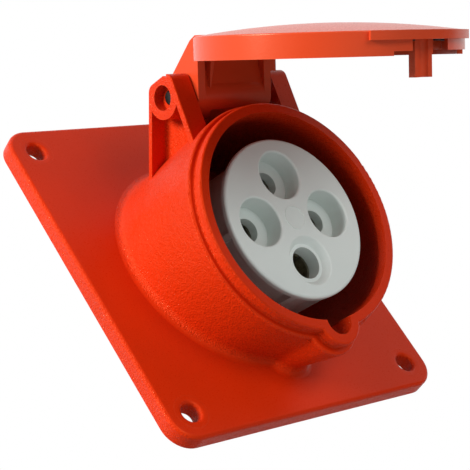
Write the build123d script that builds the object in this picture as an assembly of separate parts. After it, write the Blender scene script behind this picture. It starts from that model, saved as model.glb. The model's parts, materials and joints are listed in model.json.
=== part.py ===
from build123d import *
import os
from math import atan2, cos, radians, sin, sqrt, tan

os.makedirs("parts", exist_ok=True)

# Row frame: X right seen from the front, Z up, the panel lies behind y = 0.
# Socket frame: x as in the row frame, y "up the mouth", z out of the mouth along the barrel's axis.
# Heights along the barrel are z values in the socket frame, 0 at the lip, negative inwards.

# Flange
FLANGE_WIDTH = 92.0
FLANGE_HEIGHT = 100.0
FLANGE_THICKNESS = 4.4
FLANGE_CORNER_RADIUS = 7.0
FLANGE_EDGE_ROUND = 1.0
FIXING_EDGE_DISTANCE = 7.5
FIXING_HOLE_RADIUS = 2.9
FIXING_SINK_RADIUS = 4.7
FIXING_SINK_DEPTH = 0.4
GASKET_WIDTH = 70.4
GASKET_HEIGHT = 78.4
GASKET_CORNER_RADIUS = 14.0
GASKET_BAND = 2.4
GASKET_THICKNESS = 1.6
GASKET_SIDE_GAP = 0.15

# Barrel
TILT = 18.0
MOUTH_REACH = 37.0
AXIS_RISE = 0.6
BORE_RADIUS = 28.5
LIP_RADIUS = 31.2
LIP_ROUND = 0.6
LIP_HEIGHT = 1.9
COVE_DEPTH = 0.7
LEDGE_DEPTH = 3.4
BARREL_FRONT_RADIUS = 32.3
BARREL_BACK_RADIUS = 30.4
LEDGE_ROUND = 0.7
BASE_FILLET = 2.0
SPIGOT_STAND = 3.12
FLOOR_DEPTH = 36.0
FLOOR_THICKNESS = 5.0
FLOOR_OPENING_GAP = 0.3
CUT_OVER = 1.0

# Keyway at the bottom of the mouth
KEYWAY_RADIUS = 4.1
LIP_BUMP_RADIUS = 6.8
LEDGE_BUMP_RADIUS = 8.5
CHANNEL_BACK_RADIUS = 6.3
CHANNEL_BLEND = 3.5

# Hinge ears on the barrel
HINGE_DEPTH = 12.4
HINGE_HEIGHT = 39.5
SADDLE_GAP = 0.5
SADDLE_WALL = 1.5
SADDLE_TOP = 36.2
EAR_INNER_X = 14.3
EAR_OUTER_X = 20.4
EAR_FRONT_DEPTH = 6.85
EAR_TOP = 44.5
EAR_TOP_BACK_DEPTH = 16.2
EAR_ROOT_HEIGHT = 22.0
EAR_BACK_SLOPE = 29.2
EAR_CORNER_RADIUS = 2.5
EAR_RIB = 1.5
EAR_WEB = 1.3
EAR_BOSS_RADIUS = 5.6
EAR_POCKET_ROUND = 0.8
EAR_EDGE_ROUND = 0.4
PIN_RECESS_RADIUS = 3.3
PIN_RECESS_DEPTH = 2.8

# Hinge pin and lid spring
PIN_RADIUS = 2.0
PIN_DRIVE_GAP = 0.02
PIN_RUNNING_GAP = 0.06
PIN_PROUD = 0.6
PIN_CHAMFER = 0.4
SPRING_WIRE = 1.1
SPRING_MEAN_RADIUS = 3.3
SPRING_FULL_TURNS = 8
SPRING_LENGTH = 15.0
SPRING_REST_GAP = 0.3
SPRING_TIP_RADIUS = 0.5
SPRING_EYE_DEPTH = 0.9
SPRING_EYE_GAP = 0.15
SPRING_LEG_ANGLE = 180.0
SPRING_LEG_RUN = 5.0
SPRING_LEG_BEND = 1.2

# Lid, sized as it lies closed on the mouth
LID_OPEN_ANGLE = 63.5
LID_RADIUS = 33.0
LID_UNDERSIDE = 0.5
LID_RIM_THICKNESS = 2.15
LID_DOME_RISE = 2.6
LID_RIM_ROUND = 0.35
SKIRT_WALL = 1.4
SKIRT_GAP = 0.25
TAB_PROUD = 1.4
TAB_HALF_ANGLE = 30.0
RELIEF_DEPTH = 2.1
RELIEF_FROM = -109.5
RELIEF_TO = -40.0
BUMP_GAP = 0.5
INNER_RING_RADIUS = 27.4
INNER_RING_WALL = 1.4
INNER_RING_DEPTH = 1.9
PRONG_WIDTH = 6.0
PRONG_INNER = 28.4
PRONG_OUTER = 30.3
PRONG_DEPTH = 8.2
PRONG_GROOVE_RADIUS = 1.7
PRONG_GROOVE_OFFSET = 0.48
PRONG_FOOT_WIDTH = 0.4
PRONG_FOOT_DEPTH = 2.8
LID_GASKET_INNER = 27.7
LID_GASKET_OUTER = 31.1
LID_GASKET_SEAT = 1.1
LID_GASKET_LIFT = 0.15
LID_GASKET_SIDE_GAP = 0.1

# Hinge block of the lid
ARM_EAR_GAP = 0.5
ARM_WALL = 2.4
ARM_FRONT_HEIGHT = 33.0
ARM_ROOT_HEIGHT = 28.5
ARM_TOP = 3.3
ARM_TOP_WIDTH = 0.9
ARM_SLOPE_TOP = 2.0
ARM_SLOPE_TOP_HEIGHT = 35.9
KNUCKLE_RADIUS = 6.5
KNUCKLE_RIGHT_STEP = 2.0
RIGHT_STEP_DEPTH = 6.4
WEB_SETBACK = 2.5
GUSSET_TOP_WIDTH = 1.4
GUSSET_TIP_WIDTH = 0.3
GUSSET_TOP_X = -8.6
GUSSET_TIP_X = -9.6
GUSSET_DEPTH = 10.0
SPRING_BAY_HALF_LENGTH = 8.6
SPRING_BAY_RADIUS = 4.6
SPRING_BAY_FROM = 92.0
SPRING_BAY_TO = 238.0

# Contact carrier
DISC_RADIUS = 22.0
DISC_DEPTH = 2.34
DISC_LIP = 1.6
DISC_EDGE_ROUND = 0.75
CORE_RADIUS = 20.0
NECK_LENGTH = 2.0
COLLAR_THICKNESS = 3.5
COLLAR_GAP = 0.4
REAR_RADIUS = 21.3
REAR_LENGTH = 13.5
RIB_WIDTH = 1.6
RIB_RADIUS = 21.7
RIB_ANGLES = (-175.0, -112.0, -68.0, -5.0)
PITCH_RADIUS = 11.8
WELL_RADIUS = 6.5
WELL_DEPTH = 6.0
WELL_EDGE_ROUND = 0.55
EARTH_RECESS_RADIUS = 6.7
EARTH_RECESS_DEPTH = 1.9
EARTH_RECESS_FLOOR_RADIUS = 5.2
ENTRY_GAP = 0.3
PHASE_ENTRY_LENGTH = 2.7
CENTRE_RING_RADIUS = 3.3
CENTRE_RING_WALL = 0.4
CENTRE_RING_RISE = 0.2

# Contacts: pin radii of the plug that goes in, and what is built round them
PHASE_PIN_RADIUS = 3.0
EARTH_PIN_RADIUS = 4.0
PIN_ENTRY_GAP = 0.05
SLEEVE_WALL = 1.15
SLEEVE_END_GAP = 0.3
SLEEVE_BORE_DEPTH = 21.5
SLEEVE_SLIT = 0.8
SLEEVE_SLIT_LENGTH = 14.0
TERMINAL_STEP = 0.75
TERMINAL_GAP = 0.1
SHANK_LENGTH = 4.0
WIRE_HOLE_RADIUS = 2.6
WIRE_HOLE_DEPTH = 13.0
SPRING_RING_WALL = 0.6
SPRING_RING_LENGTH = 4.0
SPRING_RING_OFFSET = 3.0
SPRING_RING_SPLIT = 1.2
SPRING_RING_GAP = 0.05

# Screws and the plate that holds the contacts in
TERMINAL_SCREW_RADIUS = 1.6
TERMINAL_SCREW_LENGTH = 6.2
TERMINAL_SCREW_OPEN = 0.35
TERMINAL_SCREW_CHAMFER = 0.35
TERMINAL_SCREW_BACK = 8.0
SCREW_HOLE_GAP = 0.06
SCREW_SLOT_WIDTH = 0.7
SCREW_SLOT_DEPTH = 0.9
DRIVER_GAP = 0.7
RETAINER_THICKNESS = 2.8
RETAINER_WIRE_GAP = 0.8
RETAINER_SCREW_RADIUS = 1.5
RETAINER_SCREW_LENGTH = 8.0
CARRIER_SCREW_RADIUS = 1.6
CARRIER_SCREW_BITE = 3.6
CARRIER_SCREW_PITCH = 25.2
CARRIER_SCREW_GAP = 0.18
SCREW_POINT_CHAMFER = 0.5
HEAD_RADIUS = 2.8
HEAD_HEIGHT = 1.9
HEAD_ROUND = 0.5
TAP_END_GAP = 0.4

# Values worked out from the sizes above
tilt = radians(TILT)
fixing_x = FLANGE_WIDTH / 2 - FIXING_EDGE_DISTANCE
fixing_z = FLANGE_HEIGHT / 2 - FIXING_EDGE_DISTANCE
spigot_depth = MOUTH_REACH + BARREL_BACK_RADIUS * tan(tilt) + SPIGOT_STAND
mouth = Plane(
    origin=(0, -MOUTH_REACH * cos(tilt), AXIS_RISE - MOUTH_REACH * sin(tilt)),
    x_dir=(1, 0, 0),
    z_dir=(0, -cos(tilt), -sin(tilt)),
)
hinge_axis = Axis((0, HINGE_HEIGHT, -HINGE_DEPTH), (1, 0, 0))
arm_outer_x = EAR_INNER_X - ARM_EAR_GAP
arm_inner_x = arm_outer_x - ARM_WALL
neck_back = FLOOR_DEPTH + FLOOR_THICKNESS
rear_start = neck_back + COLLAR_THICKNESS
rear_end = rear_start + REAR_LENGTH
rim_depth = LEDGE_DEPTH + 2 * LEDGE_ROUND
taper_end = (FLOOR_DEPTH + LEDGE_DEPTH) / 2
disc_back = DISC_DEPTH + DISC_LIP
plate_back = DISC_DEPTH + WELL_DEPTH
lid_rim = LID_UNDERSIDE + LID_RIM_THICKNESS
dome_radius = (LID_RADIUS * LID_RADIUS + LID_DOME_RISE * LID_DOME_RISE) / (2 * LID_DOME_RISE)
dome_half_height = sqrt(dome_radius * dome_radius - LID_RADIUS * LID_RADIUS / 4)
skirt_bottom = LEDGE_DEPTH - SKIRT_GAP

# One entry for each contact: its place round the axis, its plug pin's radius and the depth where its entry ends
CONTACTS = {
    "l1": (180.0, PHASE_PIN_RADIUS, plate_back + PHASE_ENTRY_LENGTH),
    "l2": (90.0, PHASE_PIN_RADIUS, plate_back + PHASE_ENTRY_LENGTH),
    "l3": (0.0, PHASE_PIN_RADIUS, plate_back + PHASE_ENTRY_LENGTH),
    "earth": (-90.0, EARTH_PIN_RADIUS, plate_back),
}


def rod(radius, top, bottom, x=0.0, y=0.0):
    """A cylinder along the barrel's axis between two depths."""
    return Pos(x, y, -bottom) * extrude(Circle(radius), bottom - top)


def turned(points, rounds=()):
    """A solid turned about the barrel's axis from (radius, height) points, with chosen corners rounded."""
    face = make_face(Polyline(*points, close=True))
    for corner, size in rounds:
        vertex = face.vertices().sort_by_distance(Vector(corner[0], corner[1], 0))[0]
        face = fillet(vertex, size)
    return revolve(Plane.XZ * face, Axis.Z)


def slab(points, x_from, x_to, rounds=()):
    """A plate across the hinge direction from (y, z) points, between two x values."""
    face = make_face(Polyline(*points, close=True))
    for corner, size in rounds:
        vertex = face.vertices().sort_by_distance(Vector(corner[0], corner[1], 0))[0]
        face = fillet(vertex, size)
    return extrude(Plane.YZ.offset(x_from) * face, x_to - x_from)


def cross_rod(radius, x_from, x_to):
    """A cylinder on the hinge axis."""
    face = Plane.YZ.offset(x_from) * Pos(HINGE_HEIGHT, -HINGE_DEPTH) * Circle(radius)
    return extrude(face, x_to - x_from)


def at_contact(name):
    """Where a contact's own axis stands in the socket frame."""
    angle = radians(CONTACTS[name][0])
    return Pos(PITCH_RADIUS * cos(angle), PITCH_RADIUS * sin(angle), 0)


def flange():
    plate = Box(FLANGE_WIDTH, FLANGE_THICKNESS, FLANGE_HEIGHT, align=(Align.CENTER, Align.MAX, Align.CENTER))
    plate = fillet(plate.edges().filter_by(Axis.Y), FLANGE_CORNER_RADIUS)
    front = plate.faces().sort_by(Axis.Y)[0]
    return fillet(front.edges(), FLANGE_EDGE_ROUND)


def fixing_holes():
    holes = Part()
    sink_face = FIXING_SINK_DEPTH - FLANGE_THICKNESS
    for x in (-fixing_x, fixing_x):
        for z in (-fixing_z, fixing_z):
            through = Plane(origin=(x, 0, z), z_dir=(0, -1, 0)) * Circle(FIXING_HOLE_RADIUS)
            sink = Plane(origin=(x, sink_face, z), z_dir=(0, -1, 0)) * Circle(FIXING_SINK_RADIUS)
            holes += extrude(through, 2 * FLANGE_THICKNESS)
            holes += extrude(sink, 2 * FIXING_SINK_DEPTH)
    return holes


def gasket_ring(side_gap):
    """The rounded frame behind the flange; a negative side gap makes the groove for it."""
    outline = RectangleRounded(
        GASKET_WIDTH - 2 * side_gap, GASKET_HEIGHT - 2 * side_gap, GASKET_CORNER_RADIUS - side_gap
    )
    hole = RectangleRounded(
        GASKET_WIDTH - 2 * GASKET_BAND + 2 * side_gap,
        GASKET_HEIGHT - 2 * GASKET_BAND + 2 * side_gap,
        GASKET_CORNER_RADIUS - GASKET_BAND + side_gap,
    )
    return extrude(Plane(origin=(0, 0, 0), x_dir=(1, 0, 0), z_dir=(0, -1, 0)) * (outline - hole), GASKET_THICKNESS)


def mouth_rim():
    """Lip, cove and ledge round the mouth, with the keyway's swelling on each."""
    ledge = turned(
        [
            (0, -LEDGE_DEPTH),
            (BARREL_FRONT_RADIUS, -LEDGE_DEPTH),
            (barrel_radius(rim_depth), -rim_depth),
            (0, -rim_depth),
        ],
        [((BARREL_FRONT_RADIUS, -LEDGE_DEPTH), LEDGE_ROUND)],
    )
    ledge_bump = turned(
        [(0, -LEDGE_DEPTH), (LEDGE_BUMP_RADIUS, -LEDGE_DEPTH), (channel_radius(rim_depth), -rim_depth), (0, -rim_depth)],
        [((LEDGE_BUMP_RADIUS, -LEDGE_DEPTH), LEDGE_ROUND)],
    )
    bump_place = Pos(0, -BORE_RADIUS, 0)
    return ledge + bump_place * ledge_bump + lip(LIP_RADIUS) + bump_place * lip(LIP_BUMP_RADIUS)


def lip(radius):
    """A round rim with a rounded top edge, hollowed by a round cove above the ledge."""
    section = make_face(
        [
            Line((0, 0), (radius, 0)),
            Line((radius, 0), (radius, -LIP_HEIGHT)),
            ThreePointArc(
                (radius, -LIP_HEIGHT),
                (radius - COVE_DEPTH, -(LIP_HEIGHT + LEDGE_DEPTH) / 2),
                (radius, -LEDGE_DEPTH),
            ),
            Line((radius, -LEDGE_DEPTH), (0, -LEDGE_DEPTH)),
            Line((0, -LEDGE_DEPTH), (0, 0)),
        ]
    )
    corner = section.vertices().sort_by_distance(Vector(radius, 0, 0))[0]
    return revolve(Plane.XZ * fillet(corner, LIP_ROUND), Axis.Z)


def barrel_radius(depth):
    """Outside radius of the conical barrel at a depth below the lip."""
    share = (depth - LEDGE_DEPTH) / (MOUTH_REACH - LEDGE_DEPTH)
    return BARREL_FRONT_RADIUS + (BARREL_BACK_RADIUS - BARREL_FRONT_RADIUS) * share


def channel_radius(depth):
    """Outside radius of the keyway's swelling at a depth on its tapered upper half."""
    share = (depth - LEDGE_DEPTH) / (taper_end - LEDGE_DEPTH)
    return LEDGE_BUMP_RADIUS + (CHANNEL_BACK_RADIUS - LEDGE_BUMP_RADIUS) * share


def trunk():
    """The barrel below its rim and the keyway's swelling, blended along the two creases between them."""
    cone = turned(
        [
            (0, -rim_depth),
            (barrel_radius(rim_depth), -rim_depth),
            (BARREL_BACK_RADIUS, -MOUTH_REACH),
            (BARREL_BACK_RADIUS, -spigot_depth),
            (0, -spigot_depth),
        ]
    )
    channel_end = FLOOR_DEPTH + FLOOR_THICKNESS / 2
    swelling = turned(
        [
            (0, -rim_depth),
            (channel_radius(rim_depth), -rim_depth),
            (CHANNEL_BACK_RADIUS, -taper_end),
            (CHANNEL_BACK_RADIUS, -channel_end),
            (0, -channel_end),
        ]
    )
    both = cone + Pos(0, -BORE_RADIUS, 0) * swelling
    creases = [edge for edge in both.edges() if edge.geom_type == GeomType.BSPLINE and edge.center().Z > -MOUTH_REACH]
    return fillet(creases, CHANNEL_BLEND)


def rooted(outside):
    """The flange with one body standing through it, filleted where that body leaves the front face."""
    base = flange() + mouth.location * outside
    front = base.faces().filter_by(Axis.Y).filter_by_position(Axis.Y, -FLANGE_THICKNESS, -FLANGE_THICKNESS)[0]
    return fillet(front.inner_wires().edges(), BASE_FILLET)


def ear():
    """One hinge ear on the +x side: a plate with a pocket behind its boss."""
    slope = tan(radians(EAR_BACK_SLOPE))
    root_back = -EAR_TOP_BACK_DEPTH - (EAR_TOP - EAR_ROOT_HEIGHT) * slope
    outline = [
        (EAR_ROOT_HEIGHT, -EAR_FRONT_DEPTH),
        (EAR_TOP, -EAR_FRONT_DEPTH),
        (EAR_TOP, -EAR_TOP_BACK_DEPTH),
        (EAR_ROOT_HEIGHT, root_back),
    ]
    plate = slab(
        outline,
        EAR_INNER_X,
        EAR_OUTER_X,
        [
            ((EAR_TOP, -EAR_FRONT_DEPTH), EAR_CORNER_RADIUS),
            ((EAR_TOP, -EAR_TOP_BACK_DEPTH), EAR_CORNER_RADIUS),
        ],
    )
    rim = plate.faces().sort_by(Axis.X)[-1].edges()
    plate = fillet(rim, EAR_EDGE_ROUND)
    rib_run = EAR_RIB * sqrt(1 + slope * slope)
    pocket = slab(
        [
            (EAR_ROOT_HEIGHT, -EAR_FRONT_DEPTH - EAR_RIB),
            (EAR_TOP, -EAR_FRONT_DEPTH - EAR_RIB),
            (EAR_TOP, -EAR_TOP_BACK_DEPTH + rib_run),
            (EAR_ROOT_HEIGHT, root_back + rib_run),
        ],
        EAR_INNER_X + EAR_WEB,
        EAR_OUTER_X + CUT_OVER,
    )
    pocket -= cross_rod(EAR_BOSS_RADIUS, EAR_INNER_X, EAR_OUTER_X + CUT_OVER)
    pocket = pocket.solids().sort_by(SortBy.VOLUME)[-1]
    floor = pocket.faces().sort_by(Axis.X)[0]
    pocket = fillet(floor.edges(), EAR_POCKET_ROUND)
    return plate - pocket


def saddle():
    """The low wall between the ears, behind the knuckle."""
    front = -HINGE_DEPTH - KNUCKLE_RADIUS - SADDLE_GAP
    points = [
        (EAR_ROOT_HEIGHT, front),
        (SADDLE_TOP, front),
        (SADDLE_TOP, front - SADDLE_WALL),
        (EAR_ROOT_HEIGHT, front - SADDLE_WALL),
    ]
    return slab(points, -EAR_INNER_X, EAR_INNER_X)


def mouth_cavity():
    """Everything that is hollow in the housing round the barrel's axis."""
    cavity = rod(BORE_RADIUS, -CUT_OVER, FLOOR_DEPTH)
    cavity += rod(KEYWAY_RADIUS, -CUT_OVER, FLOOR_DEPTH, y=-BORE_RADIUS)
    cavity += rod(DISC_RADIUS + FLOOR_OPENING_GAP, FLOOR_DEPTH, neck_back)
    cavity += rod(BORE_RADIUS, neck_back, spigot_depth + CUT_OVER)
    for side in (-1, 1):
        hole_end = neck_back - CARRIER_SCREW_BITE - TAP_END_GAP
        cavity += rod(CARRIER_SCREW_RADIUS + SCREW_HOLE_GAP, hole_end, neck_back, x=side * CARRIER_SCREW_PITCH)
    return cavity


def hinge_holes():
    reach = EAR_OUTER_X + CUT_OVER
    recess_x = EAR_OUTER_X - PIN_RECESS_DEPTH
    holes = cross_rod(PIN_RADIUS + PIN_DRIVE_GAP, -reach, reach)
    holes += cross_rod(PIN_RECESS_RADIUS, recess_x, reach)
    holes += cross_rod(PIN_RECESS_RADIUS, -reach, -recess_x)
    return holes


def housing():
    """The red moulding: flange, leaning barrel, keyway channel and the two hinge ears."""
    base = rooted(trunk()) + mouth.location * mouth_rim()
    ears = ear()
    ears += mirror(ears, Plane.YZ) + saddle()
    shape = base + mouth.location * ears
    shape -= mouth.location * (mouth_cavity() + hinge_holes())
    shape -= fixing_holes()
    return shape - gasket_ring(-GASKET_SIDE_GAP)


def lid_plate():
    """Domed disc with its skirt, inner ring and the groove for the lid's gasket, as it lies closed."""
    dome = make_face(
        [
            Line((0, LID_UNDERSIDE), (LID_RADIUS, LID_UNDERSIDE)),
            Line((LID_RADIUS, LID_UNDERSIDE), (LID_RADIUS, lid_rim)),
            ThreePointArc(
                (LID_RADIUS, lid_rim),
                (LID_RADIUS / 2, lid_rim + LID_DOME_RISE - dome_radius + dome_half_height),
                (0, lid_rim + LID_DOME_RISE),
            ),
            Line((0, lid_rim + LID_DOME_RISE), (0, LID_UNDERSIDE)),
        ]
    )
    corner = dome.vertices().sort_by_distance(Vector(LID_RADIUS, lid_rim, 0))[0]
    plate = revolve(Plane.XZ * fillet(corner, LID_RIM_ROUND), Axis.Z)
    skirt = rod(LID_RADIUS, -LID_UNDERSIDE, skirt_bottom)
    skirt -= rod(LID_RADIUS - SKIRT_WALL, -LID_UNDERSIDE, skirt_bottom)
    skirt -= sector(LID_RADIUS + CUT_OVER, RELIEF_FROM, RELIEF_TO, RELIEF_DEPTH, skirt_bottom)
    skirt -= rod(LIP_BUMP_RADIUS + BUMP_GAP, -LID_UNDERSIDE, skirt_bottom, y=-BORE_RADIUS)
    ring = rod(INNER_RING_RADIUS, -LID_UNDERSIDE, INNER_RING_DEPTH)
    ring -= rod(INNER_RING_RADIUS - INNER_RING_WALL, -LID_UNDERSIDE, INNER_RING_DEPTH)
    tab = sector(LID_RADIUS + TAB_PROUD, -90 - TAB_HALF_ANGLE, -90 + TAB_HALF_ANGLE, -lid_rim, -LID_UNDERSIDE)
    tab -= rod(LID_RADIUS - SKIRT_WALL, -lid_rim, -LID_UNDERSIDE)
    return plate + skirt + ring + tab


def lid_groove():
    """The ring-shaped seat of the lid's gasket."""
    groove = rod(LID_GASKET_OUTER + LID_GASKET_SIDE_GAP, -LID_UNDERSIDE - LID_GASKET_SEAT, -LID_UNDERSIDE)
    return groove - rod(LID_GASKET_INNER - LID_GASKET_SIDE_GAP, -LID_UNDERSIDE - LID_GASKET_SEAT, -LID_UNDERSIDE)


def sector(radius, angle_from, angle_to, top, bottom):
    """A pie-shaped block between two angles and two depths."""
    start = radians(angle_from)
    end = radians(angle_to)
    middle = (start + end) / 2
    face = make_face(
        [
            Line((0, 0), (radius * cos(start), radius * sin(start))),
            ThreePointArc(
                (radius * cos(start), radius * sin(start)),
                (radius * cos(middle), radius * sin(middle)),
                (radius * cos(end), radius * sin(end)),
            ),
            Line((radius * cos(end), radius * sin(end)), (0, 0)),
        ]
    )
    return Pos(0, 0, -bottom) * extrude(face, bottom - top)


def prong():
    """The tongue that drops into the keyway, channelled on its outer side."""
    length = PRONG_DEPTH + LID_UNDERSIDE + LID_GASKET_SEAT
    depth = PRONG_OUTER - PRONG_INNER
    middle = -(PRONG_INNER + PRONG_OUTER) / 2
    tongue = Pos(0, middle, LID_UNDERSIDE + LID_GASKET_SEAT - length / 2) * Box(PRONG_WIDTH, depth, length)
    foot_length = PRONG_FOOT_DEPTH + LID_UNDERSIDE + LID_GASKET_SEAT
    foot = Pos((PRONG_WIDTH + PRONG_FOOT_WIDTH) / 2, middle, LID_UNDERSIDE + LID_GASKET_SEAT - foot_length / 2)
    tongue += foot * Box(PRONG_FOOT_WIDTH, depth, foot_length)
    groove = rod(PRONG_GROOVE_RADIUS, -LID_UNDERSIDE, PRONG_DEPTH + CUT_OVER, y=-PRONG_OUTER - PRONG_GROOVE_OFFSET)
    return tongue - groove


def block_outline(front, front_below):
    """Outline of the hinge block, (y, z) points, with its front's height at the lid's rim and at the knuckle."""
    slope_y = ARM_SLOPE_TOP_HEIGHT - HINGE_HEIGHT
    slope_z = ARM_SLOPE_TOP + HINGE_DEPTH
    reach = sqrt(slope_y * slope_y + slope_z * slope_z)
    touch = atan2(slope_z, slope_y) - atan2(sqrt(reach * reach - KNUCKLE_RADIUS * KNUCKLE_RADIUS), KNUCKLE_RADIUS)
    return [
        (front_below, -HINGE_DEPTH),
        (front, -skirt_bottom),
        (ARM_ROOT_HEIGHT, -skirt_bottom),
        (ARM_ROOT_HEIGHT, ARM_TOP),
        (ARM_FRONT_HEIGHT + ARM_TOP_WIDTH, ARM_TOP),
        (ARM_SLOPE_TOP_HEIGHT, ARM_SLOPE_TOP),
        (HINGE_HEIGHT + KNUCKLE_RADIUS * cos(touch), -HINGE_DEPTH + KNUCKLE_RADIUS * sin(touch)),
        (HINGE_HEIGHT, -HINGE_DEPTH),
    ]


def hinge_block():
    """Two arms, the leaning web between them, one thin gusset and the knuckle with its spring bay."""
    knuckle_right = arm_outer_x - KNUCKLE_RIGHT_STEP
    knuckle_front = HINGE_HEIGHT - KNUCKLE_RADIUS
    arm_outline = block_outline(ARM_FRONT_HEIGHT, ARM_FRONT_HEIGHT)
    arms = slab(arm_outline, -arm_outer_x, -arm_inner_x)
    arms += slab(arm_outline, arm_inner_x - KNUCKLE_RIGHT_STEP, arm_outer_x)
    web = slab(block_outline(ARM_FRONT_HEIGHT + WEB_SETBACK, knuckle_front), -arm_inner_x, arm_inner_x)
    knuckle = cross_rod(KNUCKLE_RADIUS, -arm_outer_x, knuckle_right)
    gusset_section = make_face(
        Polyline(
            (GUSSET_TOP_X - GUSSET_TOP_WIDTH / 2, LID_UNDERSIDE - skirt_bottom),
            (GUSSET_TOP_X + GUSSET_TOP_WIDTH / 2, LID_UNDERSIDE - skirt_bottom),
            (GUSSET_TIP_X + GUSSET_TIP_WIDTH / 2, -GUSSET_DEPTH),
            (GUSSET_TIP_X - GUSSET_TIP_WIDTH / 2, -GUSSET_DEPTH),
            close=True,
        )
    )
    gusset = extrude(Plane.XZ.offset(-ARM_FRONT_HEIGHT) * gusset_section, -2 * WEB_SETBACK)
    block = arms + web + knuckle + gusset
    step = slab(
        [
            (ARM_FRONT_HEIGHT - CUT_OVER, -RIGHT_STEP_DEPTH),
            (EAR_TOP + KNUCKLE_RADIUS, -RIGHT_STEP_DEPTH),
            (EAR_TOP + KNUCKLE_RADIUS, -HINGE_DEPTH - KNUCKLE_RADIUS - CUT_OVER),
            (ARM_FRONT_HEIGHT - CUT_OVER, -HINGE_DEPTH - KNUCKLE_RADIUS - CUT_OVER),
        ],
        knuckle_right,
        arm_outer_x + CUT_OVER,
    )
    bay = cross_rod(SPRING_BAY_RADIUS, -SPRING_BAY_HALF_LENGTH, SPRING_BAY_HALF_LENGTH)
    bay_reach = 2 * KNUCKLE_RADIUS
    way_out = [(HINGE_HEIGHT, -HINGE_DEPTH)]
    for angle in (SPRING_BAY_FROM, (SPRING_BAY_FROM + SPRING_BAY_TO) / 2, SPRING_BAY_TO):
        turn = radians(angle)
        way_out.append((HINGE_HEIGHT + bay_reach * sin(turn), -HINGE_DEPTH + bay_reach * cos(turn)))
    bay += slab(way_out, -SPRING_BAY_HALF_LENGTH, SPRING_BAY_HALF_LENGTH)
    eye = spring_eye(SPRING_TIP_RADIUS + SPRING_EYE_GAP, SPRING_EYE_DEPTH + SPRING_EYE_GAP)
    pin_hole = cross_rod(PIN_RADIUS + PIN_RUNNING_GAP, -arm_outer_x - CUT_OVER, arm_outer_x + CUT_OVER)
    return block - step - bay - eye - pin_hole


def spring_eye(radius, depth):
    """The blind hole in the knuckle's right end wall that takes the wire's bent end."""
    start = SPRING_BAY_HALF_LENGTH
    face = Plane.YZ.offset(start) * Pos(HINGE_HEIGHT, -HINGE_DEPTH + SPRING_MEAN_RADIUS) * Circle(radius)
    return extrude(face, depth)


def opened(shape):
    """Turn a piece of the closed lid to the angle at which the lid stands open."""
    return shape.rotate(hinge_axis, -LID_OPEN_ANGLE)


def lid():
    block = hinge_block()
    rim_cut = rod(LID_RADIUS - SKIRT_WALL, -LID_UNDERSIDE, skirt_bottom)
    return opened(lid_plate() + (block - rim_cut) - lid_groove() + prong())


def lid_gasket():
    ring = rod(LID_GASKET_OUTER, -LID_UNDERSIDE - LID_GASKET_SEAT, -LID_GASKET_LIFT)
    ring -= rod(LID_GASKET_INNER, -LID_UNDERSIDE - LID_GASKET_SEAT, -LID_GASKET_LIFT)
    notch_width = PRONG_WIDTH + 2 * PRONG_FOOT_WIDTH + 2 * LID_GASKET_SIDE_GAP
    notch_depth = LID_GASKET_OUTER - PRONG_INNER + LID_GASKET_OUTER - LID_GASKET_INNER
    notch = Pos(0, -LID_GASKET_OUTER, LID_UNDERSIDE) * Box(notch_width, notch_depth, 2 * LID_GASKET_SEAT + LID_UNDERSIDE)
    return opened(ring - notch)


def hinge_pin():
    half = EAR_OUTER_X - PIN_RECESS_DEPTH + PIN_PROUD
    pin = cross_rod(PIN_RADIUS, -half, half)
    return chamfer(pin.edges().filter_by(GeomType.CIRCLE), PIN_CHAMFER)


def lid_spring():
    """Wire coil round the pin: one leg leans on the barrel, the other end sits in the knuckle's eye."""
    half = SPRING_LENGTH / 2
    wire = SPRING_WIRE / 2
    eye_angle = 90 - LID_OPEN_ANGLE
    eye_reach = SPRING_BAY_HALF_LENGTH - half + SPRING_EYE_DEPTH
    turns = SPRING_FULL_TURNS + (SPRING_LEG_ANGLE - eye_angle) / 360
    leg_angle = radians(SPRING_LEG_ANGLE)
    centre = Plane(
        origin=(-half, HINGE_HEIGHT, -HINGE_DEPTH),
        x_dir=(0, cos(leg_angle), sin(leg_angle)),
        z_dir=(1, 0, 0),
    )
    path = Helix(SPRING_LENGTH / turns, SPRING_LENGTH, SPRING_MEAN_RADIUS, lefthand=True)
    coil = sweep(Plane(origin=path @ 0, z_dir=path % 0) * Circle(wire), path=path)
    coil += Pos(path @ 1) * Pos(0, 0, -wire / 2) * extrude(Circle(SPRING_TIP_RADIUS), wire / 2 + eye_reach)
    leg_height = HINGE_HEIGHT - SPRING_MEAN_RADIUS
    leg_depth = HINGE_DEPTH + SPRING_LEG_RUN
    foot_height = sqrt(barrel_radius(leg_depth) ** 2 - (half - wire) ** 2) + SPRING_REST_GAP
    run = FilletPolyline(
        (-half, leg_height, -HINGE_DEPTH + wire),
        (-half, leg_height, -leg_depth),
        (-half, foot_height, -leg_depth),
        radius=SPRING_LEG_BEND,
    )
    leg = sweep(Plane(origin=run @ 0, z_dir=run % 0) * Circle(wire), path=run)
    return centre.location * coil + leg


def contact_radii(name):
    """Sleeve bore, sleeve outside, spring ring outside, terminal body and its bore, for one contact."""
    pin = CONTACTS[name][1]
    bore = pin + PIN_ENTRY_GAP
    sleeve = bore + SLEEVE_WALL
    ring = sleeve + SPRING_RING_GAP + SPRING_RING_WALL
    body = sleeve + TERMINAL_STEP
    return bore, sleeve, ring, body, body + TERMINAL_GAP


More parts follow.
